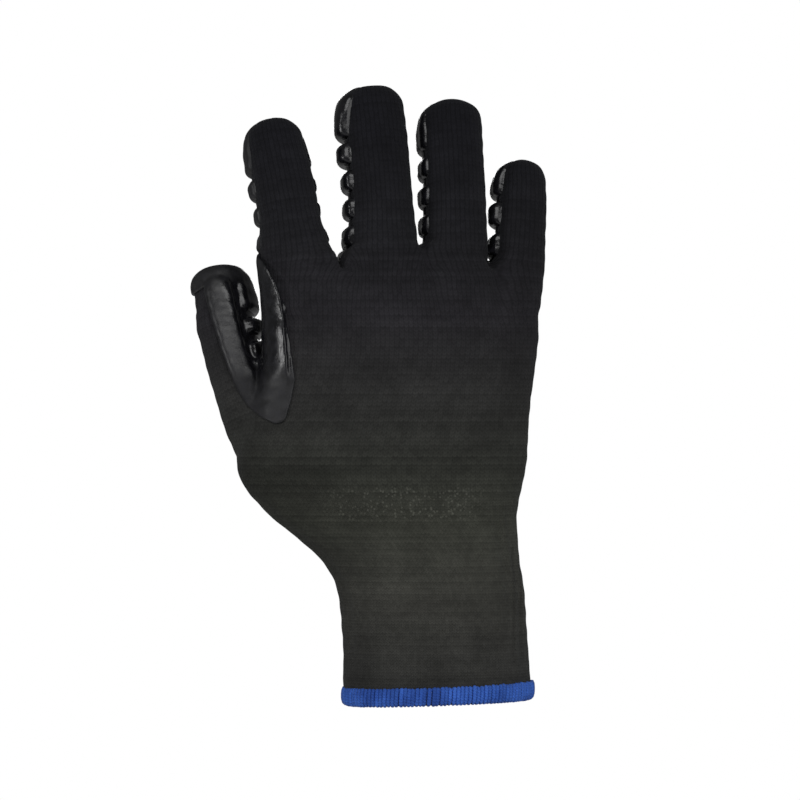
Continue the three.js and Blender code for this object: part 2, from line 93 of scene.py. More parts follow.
# The digits. x is a share of PALM_WIDTH, y of PALM_DEPTH, rise of the digit's width, length and cap of
# FINGER_LENGTH, width and thickness of FINGER_WIDTH, dome of half the width, stride of BLOCK_PITCH.
# lean, pitch, twist and curl are degrees. So are far, side and ends, which go round from the palm line to the
# thumb's side: the skin's edge, the outline seen from the back, and the ends of the blocks and of the cap.
# veer, sway and wrap are millimetres. rises are the heights of the cap and of the blocks at that outline.
DIGIT_ROWS = [
    dict(name="index", x=-0.5075, y=0, rise=0, lean=-7.9, pitch=3, twist=-4, curl=20,
         length=0.832, width=0.9597, thickness=0.8306, flare=1.22, dome=0.84,
         cap=0.2975, far=80, split=0.07, veer=-1.0, sway=0, taper=0.07, tip=2.3,
         side=84, ends=(104, 112), wrap=0.5, stride=1, rises=(1.7, 2.1, 1.7, 0.6)),
    dict(name="middle", x=-0.1925, y=0, rise=0.04, lean=-0.7, pitch=3, twist=12, curl=20,
         length=1, width=1, thickness=0.8548, flare=1.13, dome=0.74,
         cap=0.292, far=80, split=0.06, veer=0.5, sway=0, taper=0, tip=2.4,
         side=68, ends=(98, 124), wrap=0, stride=1.05, rises=(4.6, 4.9, 3.4, 3.2, 3.2)),
    dict(name="ring", x=0.0665, y=0, rise=0.08, lean=0.8, pitch=3, twist=3, curl=20,
         length=0.9132, width=0.9677, thickness=0.8306, flare=1.06, dome=0.78,
         cap=0.2948, far=86, split=0.06, veer=0, sway=0, taper=0, tip=2.3,
         side=77, ends=(106, 106), wrap=0.3, stride=1.1, rises=(2.0, 2.0, 2.2, 2.0)),
    dict(name="little", x=0.291, y=0, rise=-0.15, lean=6.9, pitch=3, twist=11, curl=20,
         length=0.6364, width=0.7823, thickness=0.6855, flare=1.06, dome=0.86,
         cap=0.2149, far=84, split=0.14, veer=-0.2, sway=0, taper=0.05, tip=2.3,
         side=69, ends=(98, 112), wrap=0, stride=1.18, rises=(3.2, 4.2, 3.0)),
    dict(name="thumb", x=-0.628, y=0.4, rise=-2.9, lean=-23.5, pitch=13, twist=-74, curl=19,
         length=0.922, width=0.9073, thickness=0.8629, flare=1.3, dome=0.56,
         cap=0.2893, far=80, split=0.3, veer=0, sway=1.9, taper=0, tip=4.0,
         side=70, ends=(86, 86), wrap=9.0, stride=1, rises=(3.4, 3.4, 3.2)),
]
# A digit's sections: share of its length, width, thickness
DIGIT_SECTIONS = np.array([
    (-0.3, 1.02, 1.12), (0.0, 1.02, 1.1), (0.22, 1.02, 1.03), (0.45, 1.01, 1.0),
    (0.65, 1.01, 0.98), (0.84, 1.0, 0.95),
])
# The thumb's long pad: share of its length, degrees of its outer and inner edges
PAD_EDGES = np.array([(0.1, 129, 88), (0.4, 134, 86), (0.55, 138, 86), (0.75, 147, 89), (0.93, 153, 95)])
# The rubber palm's edges: station, radial, ulnar, in shares of PALM_WIDTH
PALM_COAT = np.array([
    (1.06, -0.4, 0.22), (1.13, -0.52, 0.3), (1.25, -0.6, 0.33), (1.36, -0.66, 0.35), (2.0, -0.7, 0.35),
])
# The edge on the back of the hand beside the thumb: height, x
STRIP_EDGE = np.array([
    (108.0, -66.0), (113.5, -64.0), (121.6, -61.6), (129.6, -60.1), (145.7, -62.1),
    (155.4, -63.8), (158.6, -63.5), (162.2, -65.4), (171.0, -69.4), (177.0, -72.3), (181.9, -76.0),
    (190.0, -82.0),
])
# The raised fold along that strip: height, x
STRIP_FOLD = np.array([(126.0, -65.0), (135.5, -65.6), (140.3, -65.9), (153.4, -67.0), (163.0, -68.6),
                       (167.0, -69.7), (170.6, -71.1), (175.0, -73.0), (180.0, -75.6)])
# Across it: x from its line, height, and how far its lit face has gone
FOLD_SECTION = np.array([
    (-5.6, 0, 0), (-4.6, 0.12, 0), (-0.4, 1.4, 0), (2.1, 1.5, 2.5), (3.0, 0, 0), (4.0, 0, 0),
])
# The slope of that face: height, slope
FOLD_SLOPE = np.array([(127, 0.09), (138, 0.15), (145, 0.17), (153, 0.17), (161, 0.22), (172, 0.3)])
# The foot of the rubber between thumb and hand, as seen from the back: x, height
WEB_FOOT = np.array([
    (-84, 128.0), (-80.2, 124.5), (-77.8, 119.6), (-72.5, 114.2), (-67.8, 112.0), (-58.0, 112.5),
])
# Columns of blocks on the palm: x and width of PALM_WIDTH, from and to as stations
PALM_BLOCKS = [
    (0.265, 0.15, 1.2, 1.93), (0.075, 0.18, 1.16, 1.98), (-0.15, 0.2, 1.22, 1.98), (-0.4, 0.22, 1.5, 1.98),
]
# Folds of the cuff: degrees round the body, depth and half-width in degrees
CUFF_FOLDS = [(-16, 0.9, 5), (-30, 1.5, 5), (-43, 0.9, 5), (-58, 0.4, 6), (199, 1.0, 6), (214, 0.8, 6)]
# The top of the web between the fingers: x, height
WEB_TOP = np.array([
    (-70, 172), (-46, 183), (-43.4, 181), (-42.5, 178.5), (-41.4, 175.2), (-40.4, 174.6), (-39.8, 177.3),
    (-39, 179.5), (-37.6, 181.5), (-35, 183.5), (-20, 184), (-11, 185.5), (-7.6, 183.3), (-4, 185.5), (8, 182),
    (17, 178), (20.6, 175.9), (24, 178), (46, 172),
])
# Creases running down from the crotches: x, height of the top, length, half-width, depth
CREASES = [(-37.5, 177.0, 24.0, 3.0, 1.7), (-6.0, 181.0, 34.0, 3.0, 2.0), (21.5, 175.0, 30.0, 3.0, 2.0)]


# Fields

def table_curve(rows, column, value):
    """A smooth curve through a table's rows, as the CAD model draws it."""
    keys, column = rows[:, 0], rows[:, column]
    last = len(keys) - 1
    before = np.maximum(np.arange(last + 1) - 1, 0)
    after = np.minimum(np.arange(last + 1) + 1, last)
    slope = (column[after] - column[before]) / (keys[after] - keys[before])
    i = np.clip(np.searchsorted(keys, value, side="left") - 1, 0, last - 1)
    span = keys[i + 1] - keys[i]
    t = np.clip((value - keys[i]) / span, 0, 1)
    t2, t3 = t * t, t * t * t
    return (column[i] * (2 * t3 - 3 * t2 + 1) + column[i + 1] * (3 * t2 - 2 * t3)
            + slope[i] * span * (t3 - 2 * t2 + t) + slope[i + 1] * span * (t3 - t2))


def smooth_step(x, low, high):
    t = np.clip((x - low) / (high - low), 0, 1)
    return t * t * (3 - 2 * t)


def smooth_min(a, b, k):
    h = np.clip(0.5 + 0.5 * (b - a) / k, 0, 1)
    return b + (a - b) * h - k * h * (1 - h)


def smooth_max(a, b, k):
    return -smooth_min(-a, -b, k)


STATIONS = np.linspace(0, 2, 1201)
_radial = CUFF_WIDTH / 2 + (PALM_WIDTH * PALM_RADIAL_SHARE - CUFF_WIDTH / 2) * table_curve(BODY, 1, STATIONS)
_ulnar = (CUFF_WIDTH / 2
          + (PALM_WIDTH * (1 - PALM_RADIAL_SHARE) - CUFF_WIDTH / 2) * table_curve(BODY, 2, STATIONS))
HALF_WIDTH = (_radial + _ulnar) / 2
CENTRE_X = (_ulnar - _radial) / 2
HALF_DEPTH = (CUFF_DEPTH + (PALM_DEPTH - CUFF_DEPTH) * table_curve(BODY, 3, STATIONS)) / 2
CENTRE_Y = table_curve(BODY, 4, STATIONS) * PALM_DEPTH
SQUARE = table_curve(BODY, 5, STATIONS)


def station_of(x, z):
    low = (z - MOUTH_SLANT * x) / (CUFF_HEIGHT - MOUTH_SLANT * x / SLANT_ENDS)
    high = np.where(z <= CUFF_HEIGHT, z / CUFF_HEIGHT,
                    1 + (z - CUFF_HEIGHT) / (CROTCH_HEIGHT - CUFF_HEIGHT))
    return np.where(low < SLANT_ENDS, low, high)


def body_coords(p):
    """Normalised section coordinates of points, with the section's half sizes and exponent."""
    station = station_of(p[:, 0], p[:, 2])
    a, b, cx, cy, n = (np.interp(station, STATIONS, c)
                       for c in (HALF_WIDTH, HALF_DEPTH, CENTRE_X, CENTRE_Y, SQUARE))
    return station, (p[:, 0] - cx) / a, (p[:, 1] - cy) / b, a, b, n


def body_field(p):
    station, u, v, a, b, n = body_coords(p)
    au, av = np.abs(u) + 1e-6, np.abs(v) + 1e-6
    rho = (au ** n + av ** n) ** (1 / n)
    gu = (au / rho) ** (n - 1) / a
    gv = (av / rho) ** (n - 1) / b
    f = (rho - 1) / np.sqrt(gu * gu + gv * gv)
    degrees = np.degrees(np.arctan2(v, u))
    along = np.sin(np.pi * np.clip(station, 0, 1)) ** 0.7
    for at, depth, spread in CUFF_FOLDS:
        away = (degrees - at + 540) % 360 - 180
        bent = away + 3.0 * np.sin(station * 5 + at)
        f += depth * along * np.exp(-((bent / spread) ** 2))
    # thinner towards the fingers
    f += 2.2 * smooth_step(p[:, 2], 168, 184)
    top = np.interp(p[:, 0], WEB_TOP[:, 0], WEB_TOP[:, 1])
    return smooth_max(f, p[:, 2] - top, 2.0)


class Digit:
    def __init__(self, row):
        self.__dict__.update(row)
        self.length *= FINGER_LENGTH
        self.cap *= FINGER_LENGTH
        self.width *= FINGER_WIDTH
        self.thickness *= FINGER_WIDTH
        self.root = np.array([self.x * PALM_WIDTH, self.y * PALM_DEPTH,
                              CROTCH_HEIGHT + self.rise * self.width])
        lean, pitch, twist = (math.radians(v) for v in (self.lean, self.pitch, self.twist))
        along = np.array([math.sin(lean), math.sin(pitch), math.cos(lean)])
        self.along = along / np.linalg.norm(along)
        palm = np.array([-math.sin(twist), math.cos(twist), 0])
        palm -= self.along * palm.dot(self.along)
        self.palm = palm / np.linalg.norm(palm)
        self.across = np.cross(self.palm, self.along)
        self.radius = self.length / math.radians(self.curl)
        self.dome_height = self.dome * self.width / 2
        self.shoulder = self.length - self.dome_height
        shares = np.linspace(-0.5, 1.0, 400)
        taper = 1 - self.taper * smooth_step(shares, 0.5, 1)
        flare = (self.flare - 1) * smooth_step(-shares, -FLARE_ENDS, 0)
        self.shares = shares * self.length
        self.half_widths = self.width / 2 * (table_curve(DIGIT_SECTIONS, 1, shares) + flare) * taper
        self.half_depths = self.thickness / 2 * table_curve(DIGIT_SECTIONS, 2, shares)

    def coords(self, p):
        """s along the digit, w across it to the little finger's side, v to its palm side."""
        rel = p - self.root
        u, v, w = rel @ self.along, rel @ self.palm, rel @ self.across
        up = u > 0
        s = np.where(up, self.radius * np.arctan2(u, self.radius - v), u)
        v = np.where(up, self.radius - np.hypot(u, self.radius - v), v)
        bent = smooth_step(s / self.length, 0.35, 0.95)
        return s, w - self.veer * bent, v - self.sway * bent

    def sizes(self, s):
        s = np.minimum(s, self.shoulder)
        return np.interp(s, self.shares, self.half_widths), np.interp(s, self.shares, self.half_depths)

    def field(self, s, w, v):
        a, b = self.sizes(s)
        n, m = DIGIT_SQUARENESS, self.tip
        au, av = np.abs(w / a) + 1e-6, np.abs(v / b) + 1e-6
        q = (au ** n + av ** n) ** (1 / n)
        h = np.maximum((s - self.shoulder) / self.dome_height, 0) + 1e-9
        rho = (q ** m + h ** m) ** (1 / m)
        dq = (q / rho) ** (m - 1)
        gw = dq * (au / q) ** (n - 1) / a
        gv = dq * (av / q) ** (n - 1) / b
        gh = (h / rho) ** (m - 1) / self.dome_height
        f = (rho - 1) / np.sqrt(gw * gw + gv * gv + gh * gh)
        return smooth_max(f, -s - 0.36 * self.length, 6.0)

    def turn(self, s, w, v):
        """Degrees round the digit from its palm line, to the little finger's side."""
        a, b = self.sizes(s)
        return np.degrees(np.arctan2(w / a, v / b))


DIGITS = [Digit(row) for row in DIGIT_ROWS]
FAR = 30.0


def ripple(p):
    """The cloth's slow unevenness."""
    x, y, z = p[:, 0], p[:, 1], p[:, 2]
    return (0.16 * np.sin(x * 0.21 + z * 0.083 + 1.3) * np.sin(z * 0.137 - y * 0.11 + 0.4)
            + 0.10 * np.sin(x * 0.53 - z * 0.29 + 2.1) * np.sin(z * 0.41 + y * 0.37)
            + 0.07 * np.sin(z * 0.9 + x * 0.31 + y * 0.5))


def knit_field(p, parts=False):
    """The distance to the knit's outer face, and with parts each digit's coordinates and distance."""
    body = body_field(p)
    fingers = np.full(len(p), FAR)
    thumb = np.full(len(p), FAR)
    found = []
    for digit in DIGITS:
        s, w, v = digit.coords(p)
        d = np.minimum(digit.field(s, w, v), FAR)
        if digit.name == "thumb":
            outer = smooth_step(np.abs(digit.turn(s, w, v)), 146, 168)
            d = d + outer * (1.3 * smooth_step(s, 50, 57) * smooth_step(-s, -66, -60)
                             - 1.2 * np.exp(-(((s - 45) / 6) ** 2)))
            thumb = d
        else:
            fingers = smooth_min(fingers, d, 1.0)
        found.append((s, w, v, d))
    f = smooth_min(body, fingers, 2.2)
    f = smooth_min(f, thumb, 5.5)
    back = smooth_step(-p[:, 1], -2, 6)
    for x, top, length, width, depth in CREASES:
        down = (top - p[:, 2]) / length
        line = x + 2.0 * np.sin(down * 2.5)
        reach = np.exp(-(((p[:, 0] - line) / (width * (1 + np.clip(down, 0, 1)))) ** 2))
        f += back * depth * reach * smooth_step(down, -0.3, 0.05) * (1 - smooth_step(down, 0.1, 1.0))
    f += ripple(p)
    return (f, body, found) if parts else f


def rounded(ds, dh, radius):
    """A bar's distance from its half-length and height overshoots, with rounded shoulders."""
    qs, qh = ds + radius, dh + radius
    outside = np.hypot(np.maximum(qs, 0), np.maximum(qh, 0))
    return outside + np.minimum(np.maximum(qs, qh), 0) - radius


def digit_rubber(digit, f, s, w, v):
    """The rubber on a digit: its skin, cap, blocks, and the thumb's long pad."""
    turn = digit.turn(s, w, v)
    thumb = digit.name == "thumb"
    degree = math.pi / 360 * digit.width
    cap_start = digit.length - digit.cap
    tall = RUBBER_SKIN + BLOCK_HEIGHT * (0.85 if thumb else 1.0)
    right = 78 if thumb else 74

    def crown(rise, end):
        """How high a block stands round the digit: to its end on the thumb's side, right on the other."""
        across = np.where(turn < 0, -turn / end, turn / right)
        middle = np.where(turn < 0, digit.side / end, 0.75)
        at = np.where(turn < 0, rise, 3.0)
        peak = min(tall, rise + 2.9)
        low = peak * (1 - 0.04 * (across / 0.4) ** 2)
        rest = np.clip((across - 0.4) / (middle - 0.4), 0, 1)
        last = np.clip((across - middle) / (1 - middle), 0, 1)
        first = peak * 0.96
        high = first + (at - first) * rest * (0.6 + 0.4 * rest)
        return np.where(across < 0.4, low, np.where(across < middle, high, at * np.sqrt(1 - last ** 2))) \
            - 0.6 * np.maximum(across - 1, 0) * end * degree

    # the skin, thinner towards its edges
    near = FINGER_EDGE
    foot = -3.0 + 8.0 * smooth_step(-turn, 40, 75)
    if thumb:
        near = np.interp(s / digit.length, PAD_EDGES[:, 0], PAD_EDGES[:, 1])
        foot = -3.0 + 10.0 * smooth_step(turn, 60, 105)
    out = smooth_max(np.maximum(-turn - digit.far, turn - near) * degree, foot - s, 3.0)
    skin = 0.2 + (RUBBER_SKIN - 0.2) * smooth_step(-out, 0, 3.0)
    made = smooth_max(f - skin, out, 0.4)

    # the cap thins out over the tip
    fade = 0.72 * digit.width
    dome = np.clip((s - digit.length + fade) / fade, 0, 1)
    sink = np.sqrt(1 - dome * dome)
    low, high = digit.ends
    end = low + (high - low) * smooth_step(s, cap_start, digit.length - 1)
    top = crown(digit.rises[0], end) * (0.06 + 0.94 * sink ** 1.7)
    made = smooth_min(made, rounded(cap_start - s, f - top, 3.2), 0.4)
    if digit.wrap > 0:
        slope = 0.02 * np.abs((turn + 90) % 360 - 180) if thumb else 0
        wrap = smooth_max(f - (1.2 if thumb else 0.3), digit.length - digit.wrap - s + slope, 0.6)
        made = smooth_min(made, wrap, 0.4)

    # the blocks
    for k, rise in enumerate(digit.rises[1:]):
        middle = cap_start - (BLOCK_PITCH - BLOCK_LENGTH / 2 + k * BLOCK_PITCH) * digit.stride
        along = np.abs(s - middle) - BLOCK_LENGTH * digit.stride / 2
        block = rounded(along, f - crown(rise, low), 3.2)
        made = smooth_min(made, block, 0.4)

    if thumb:
        outer, inner = (np.interp(s / digit.length, PAD_EDGES[:, 0], PAD_EDGES[:, k]) for k in (1, 2))
        first, last = PAD_EDGES[0, 0] * digit.length, PAD_EDGES[-1, 0] * digit.length
        along = np.abs(s - (first + last) / 2) - (last - first) / 2
        side = np.maximum(turn - outer, inner - turn) * degree
        bend = np.radians(np.clip(turn - (outer + inner) / 2, -35, 35))
        top = RUBBER_SKIN + PAD_HEIGHT * 0.8 + 0.45 * digit.width / 2 * (1 / np.cos(bend) - 1)
        pad = rounded(smooth_max(along, side, 6.0), f - top, 2.8)
        made = smooth_min(made, pad, 0.8)
    return made


def palm_rubber(p, f, body):
    """The rubber on the palm, with the strip that laps onto the back beside the thumb."""
    x, y, z = p[:, 0], p[:, 1], p[:, 2]
    station = station_of(x, z)
    centre = np.interp(station, STATIONS, CENTRE_Y)
    heights = np.where(PALM_COAT[:, 0] <= 1, PALM_COAT[:, 0] * CUFF_HEIGHT,
                       CUFF_HEIGHT + (PALM_COAT[:, 0] - 1) * (CROTCH_HEIGHT - CUFF_HEIGHT))
    radial = np.interp(z, heights, PALM_COAT[:, 1] * PALM_WIDTH)
    ulnar = np.interp(z, heights, PALM_COAT[:, 2] * PALM_WIDTH)
    on_palm = np.maximum(smooth_max(x - ulnar, heights[0] - z, 8.0), radial - x)
    on_back = x - np.interp(z, STRIP_EDGE[:, 0], STRIP_EDGE[:, 1])
    on_back = smooth_max(on_back, np.interp(x, WEB_FOOT[:, 0], WEB_FOOT[:, 1]) - z, 3.0)
    side = smooth_step(y - centre, -3, 3)
    lap = np.clip(on_palm, -6, 6) * side + np.clip(on_back, -6, 6) * (1 - side)
    web = np.interp(x, WEB_TOP[:, 0], WEB_TOP[:, 1])
    lap = np.maximum(lap, z - np.where(x < -47, CROTCH_HEIGHT + 4, np.minimum(web - 3, CROTCH_HEIGHT + 4)))
    off = x - np.interp(z, STRIP_FOLD[:, 0], STRIP_FOLD[:, 1])
    tilt = np.interp(z, FOLD_SLOPE[:, 0], FOLD_SLOPE[:, 1])
    fold = sum(np.interp(off + shift, FOLD_SECTION[:, 0], FOLD_SECTION[:, 1])
               + tilt * np.interp(off + shift, FOLD_SECTION[:, 0], FOLD_SECTION[:, 2])
               for shift in (-0.3, 0, 0.3)) / 3 * (1 - side)
    fold *= smooth_step(z, 126, 138) * smooth_step(-z, -184, -172)
    made = smooth_max(f - RUBBER_SKIN - fold, lap, 0.8)
    for column, width, low, high in PALM_BLOCKS:
        top = CUFF_HEIGHT + (high - 1) * (CROTCH_HEIGHT - CUFF_HEIGHT)
        low = CUFF_HEIGHT + (low - 1) * (CROTCH_HEIGHT - CUFF_HEIGHT)
        dx = np.abs(x - column * PALM_WIDTH) - width * PALM_WIDTH / 2
        while top - PALM_BLOCK_LENGTH > low:
            dz = np.abs(z - (top - PALM_BLOCK_LENGTH / 2)) - PALM_BLOCK_LENGTH / 2
            plan = smooth_max(smooth_max(dx, dz, 4.0), -(y - centre), 2.0)
            block = rounded(plan, f - RUBBER_SKIN - PALM_BLOCK_HEIGHT, 2.0)
            made = smooth_min(made, block, 0.5)
            top -= PALM_BLOCK_PITCH
    return made


def rubber_field(p, owners=False):
    f, body, found = knit_field(p, parts=True)
    made = palm_rubber(p, f, body)
    owner = np.full(len(p), -1)
    nearest = np.full(len(p), 4.0)
    for k, (digit, (s, w, v, d)) in enumerate(zip(DIGITS, found)):
        close = (d < 9) & (s > -8)
        if not close.any():
            continue
        apart = (d - f)[close] + ripple(p[close])
        share = smooth_step(apart, 0.6, 2.0) if digit.name == "thumb" else smooth_step(s[close], 2, 10)
        own = f[close] + apart * share
        part = digit_rubber(digit, own, s[close], w[close], v[close])
        made[close] = smooth_min(made[close], part, 0.8)
        mine = close & (d < nearest) & (s > digit.split * digit.length)
        owner[mine] = k
        nearest[mine] = d[mine]
    # it ends a little below the knit's face
    made = np.maximum(made, -0.7 - f)
    return (made, owner, f) if owners else made


# Meshing

LOW = np.array([-104.0, -34.0, -8.0])
HIGH = np.array([52.0, 48.0, 256.0])


def in_slices(field, points, size=300000):
    return np.concatenate([field(points[i:i + size]) for i in range(0, len(points), size)])


def grid_points(low, step, index):
    return low + index * step


def surface(values, low, step):
    """The quads of the zero level of a dense grid of distances."""
    grid = vdb.FloatGrid(background=float(3 * step))
    grid.copyFromArray(np.clip(values, -3 * step, 3 * step).astype(np.float32))
    points, quads = grid.convertToQuads(isovalue=0.0)
    return points.astype(np.float64) * step + low, quads.astype(np.int64)


def settle(points, field, rounds=2, most=0.6):
    """Moves points onto a field's zero, along its slope."""
    step = 0.15
    for _ in range(rounds):
        here = in_slices(field, points)
        slope = np.stack([in_slices(field, points + np.eye(3)[k] * step) - here for k in range(3)], 1) / step
        size = np.maximum((slope ** 2).sum(1), 0.09)
        move = -here[:, None] * slope / size[:, None]
        length = np.linalg.norm(move, axis=1, keepdims=True)
        points = points + move * np.minimum(1, most / np.maximum(length, 1e-9))
    return points


def kept(points, quads, keep):
    """The faces to keep, with only their own points."""
    quads = quads[keep]
    used, index = np.unique(quads, return_inverse=True)
    return points[used], index.reshape(-1, 4)


def coarse_grid(step):
    shape = np.ceil((HIGH - LOW) / step).astype(int)
    index = np.indices(shape).reshape(3, -1).T
    return shape, index


def knit_surfaces():
    step = 1.2
    shape, index = coarse_grid(step)
    values = in_slices(knit_field, grid_points(LOW, step, index))
    outer, faces = surface(values.reshape(shape), LOW, step)
    outer = settle(outer, knit_field)
    mouth = MOUTH_SLANT * outer[:, 0]
    outer, faces = kept(outer, faces, (outer[faces][:, :, 2] > mouth[faces] - 0.2).any(1))
    outer[:, 2] = np.maximum(outer[:, 2], MOUTH_SLANT * outer[:, 0] + 0.3)
    inner_step = 2.4
    thin = values.reshape(shape)[::2, ::2, ::2] + KNIT_WALL
    inner, inner_faces = surface(thin, LOW, inner_step)
    inner = settle(inner, lambda p: knit_field(p) + KNIT_WALL, most=1.2)
    mouth = MOUTH_SLANT * inner[:, 0]
    above = (inner[inner_faces][:, :, 2] > mouth[inner_faces] - 0.2).any(1)
    inner, inner_faces = kept(inner, inner_faces, above)
    inner[:, 2] = np.maximum(inner[:, 2], MOUTH_SLANT * inner[:, 0] + 0.3)
    return values.reshape(shape), step, (outer, faces), (inner, inner_faces[:, ::-1])


def rubber_surfaces(knit_values, step):
    shape = knit_values.shape
    near = np.argwhere((knit_values > -3.5) & (knit_values < 9))
    rough = in_slices(rubber_field, grid_points(LOW, step, near))
    edge, deep = near[np.abs(rough) < 2.6], near[rough <= -2.6]
    fine = step / 2
    corners = np.indices((2, 2, 2)).reshape(3, -1).T
    index = (edge[:, None, :] * 2 + corners[None]).reshape(-1, 3)
    values = np.full(tuple(2 * n for n in shape), 3 * fine, np.float32)
    values[tuple(index.T)] = in_slices(rubber_field, grid_points(LOW, fine, index))
    # inside the rubber, away from its faces
    index = (deep[:, None, :] * 2 + corners[None]).reshape(-1, 3)
    values[tuple(index.T)] = -3 * fine
    points, faces = surface(values, LOW, fine)
    points = settle(points, rubber_field, rounds=2, most=0.3)
    _, owner, f = rubber_field(points, owners=True)
    show = f[faces].mean(1) > -0.25
    face_owner = np.median(owner[faces], axis=1).astype(int)
    return [kept(points, faces, show & (face_owner == k)) for k in range(-1, len(DIGITS))]


# Stitches: u counts wales round a piece from the middle of its back, v counts courses up it

WALE, COURSE = 1.93, 1.57
CUFF_WALE, CUFF_COURSE = 1.35, 1.2
BAND_Z = 84.0


def arc_table(a, b, n, count=721):
    """Arc length round a superellipse from the middle of its back, for -180..180 degrees from there."""
    degrees = np.linspace(-180, 180, count)
    t = np.radians(degrees - 90)
    r = (np.abs(np.cos(t)) ** n + np.abs(np.sin(t)) ** n) ** (-1 / n)
    x, y = a * r * np.cos(t), b * r * np.sin(t)
    steps = np.hypot(np.diff(x), np.diff(y))
    arc = np.concatenate([[0], np.cumsum(steps)])
    return degrees, arc - arc[count // 2], arc[-1]


ARC_STATIONS = np.linspace(0, 2, 41)
_arcs = [arc_table(*(np.interp(s, STATIONS, c) for c in (HALF_WIDTH, HALF_DEPTH, SQUARE)))
         for s in ARC_STATIONS]
ARC_SHARE = np.array([arc / whole for _, arc, whole in _arcs])
HAND_WALES = round(_arcs[32][2] / WALE)
CUFF_WALES = round(_arcs[8][2] / CUFF_WALE)


def body_share(p):
    """The share of the way round the body from the middle of the back, -0.5 to 0.5."""
    station, u, v, *_ = body_coords(p)
    degrees = (np.degrees(np.arctan2(v, u)) + 90 + 180) % 360 - 180
    row = np.clip(station / 2 * 40, 0, 39.999)
    col = (degrees + 180) * 2
    r0, c0 = row.astype(int), np.minimum(col.astype(int), 719)
    fr, fc = row - r0, col - c0
    a = ARC_SHARE[r0, c0] * (1 - fc) + ARC_SHARE[r0, c0 + 1] * fc
    b = ARC_SHARE[r0 + 1, c0] * (1 - fc) + ARC_SHARE[r0 + 1, c0 + 1] * fc
    return a * (1 - fr) + b * fr


def stitch_coords(points, faces):
    """Each corner's place in stitches."""
    _, body, found = knit_field(points, parts=True)
    share = body_share(points)
    reach = np.stack([np.where(s > (-16 if d.name == "thumb" else -9), dist, 99)
                      for d, (s, w, v, dist) in zip(DIGITS, found)], 1)
    vertex_owner = np.where(reach.min(1) < 3.5, reach.argmin(1), -1)
    owner = np.max(vertex_owner[faces], axis=1)
    corner = points[faces].reshape(-1, 3)
    corner_share = share[faces]
    # keep a face on one side of the seam in the middle of the palm
    middle = corner_share[:, :1]
    corner_share = corner_share - np.round(corner_share - middle)
    corner_share = corner_share.ravel()
    u = corner_share * HAND_WALES
    v = corner[:, 2] / COURSE
    owner4 = np.repeat(owner, 4)
    for k, digit in enumerate(DIGITS):
        mine = owner4 == k
        if not mine.any():
            continue
        thumb = digit.name == "thumb"
        s, w, vv = digit.coords(corner[mine])
        a, b = digit.sizes(0.4 * digit.length)
        degrees, arc, whole = arc_table(float(a), float(b), DIGIT_SQUARENESS)
        # from the middle of the back to the little finger's side
        turn = (digit.turn(s, w, vv) + 360) % 360 - 180
        around = np.interp(-turn, degrees, arc)
        around = around.reshape(-1, 4)
        around = around - np.round((around - around[:, :1]) / whole) * whole
        foot = digit.root - digit.palm * float(b) + digit.along * 2.0
        base = body_share(foot[None])[0] * HAND_WALES
        ud = base + around.ravel() / WALE
        vd = foot[2] / COURSE + (s - 2.0) / COURSE
        blend = smooth_step(s, -14, 14) if thumb else smooth_step(s, -9, 7)
        u[mine] = u[mine] * (1 - blend) + ud * blend
        v[mine] = v[mine] * (1 - blend) + vd * blend
    cuff = corner[:, 2] < BAND_Z
    cuff = np.repeat(cuff.reshape(-1, 4).mean(1) > 0.5, 4)
    u[cuff] = corner_share[cuff] * CUFF_WALES
    v[cuff] = corner[cuff, 2] / CUFF_COURSE
    return np.stack([u, v], 1)


def build(name, points, faces, material, uv=None):
    mesh = bpy.data.meshes.new(name)
    mesh.from_pydata((points * MM).tolist(), [], faces.tolist())
    if uv is not None:
        layer = mesh.uv_layers.new(name="stitch")
        layer.data.foreach_set("uv", uv.astype(np.float32).ravel())
    mesh.shade_smooth()
    mesh.materials.append(material)
    made = bpy.data.objects.new(name, mesh)
    bpy.context.scene.collection.objects.link(made)
    return made


# Materials

